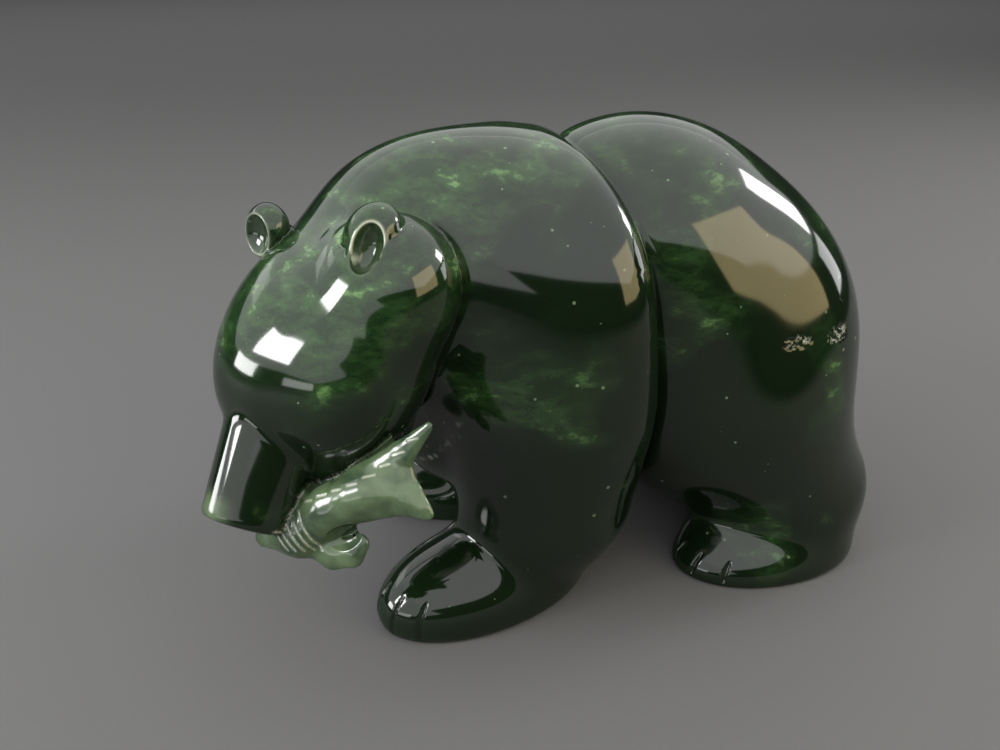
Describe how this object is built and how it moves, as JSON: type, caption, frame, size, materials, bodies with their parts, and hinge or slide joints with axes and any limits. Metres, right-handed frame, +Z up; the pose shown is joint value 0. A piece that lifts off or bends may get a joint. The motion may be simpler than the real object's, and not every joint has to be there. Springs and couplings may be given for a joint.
{
  "type": "carved stone bear figurine",
  "caption": "Polished dark green stone carving of a walking bear, head turned and bowed, with a fish held in its mouth.",
  "frame": {"origin": "middle of the carving's plan on the plane of its four soles, which is z = 0", "axes": "+X from the head end to the tail, -Y to the bear's left, where its head is turned, +Z up"},
  "size_m": [0.155, 0.087, 0.1032],
  "materials": {
    "jade": "hand-polished dark green nephrite jade"
  },
  "bodies": {
    "root": {"bear_with_fish": "jade"}
  },
  "joints": []
}
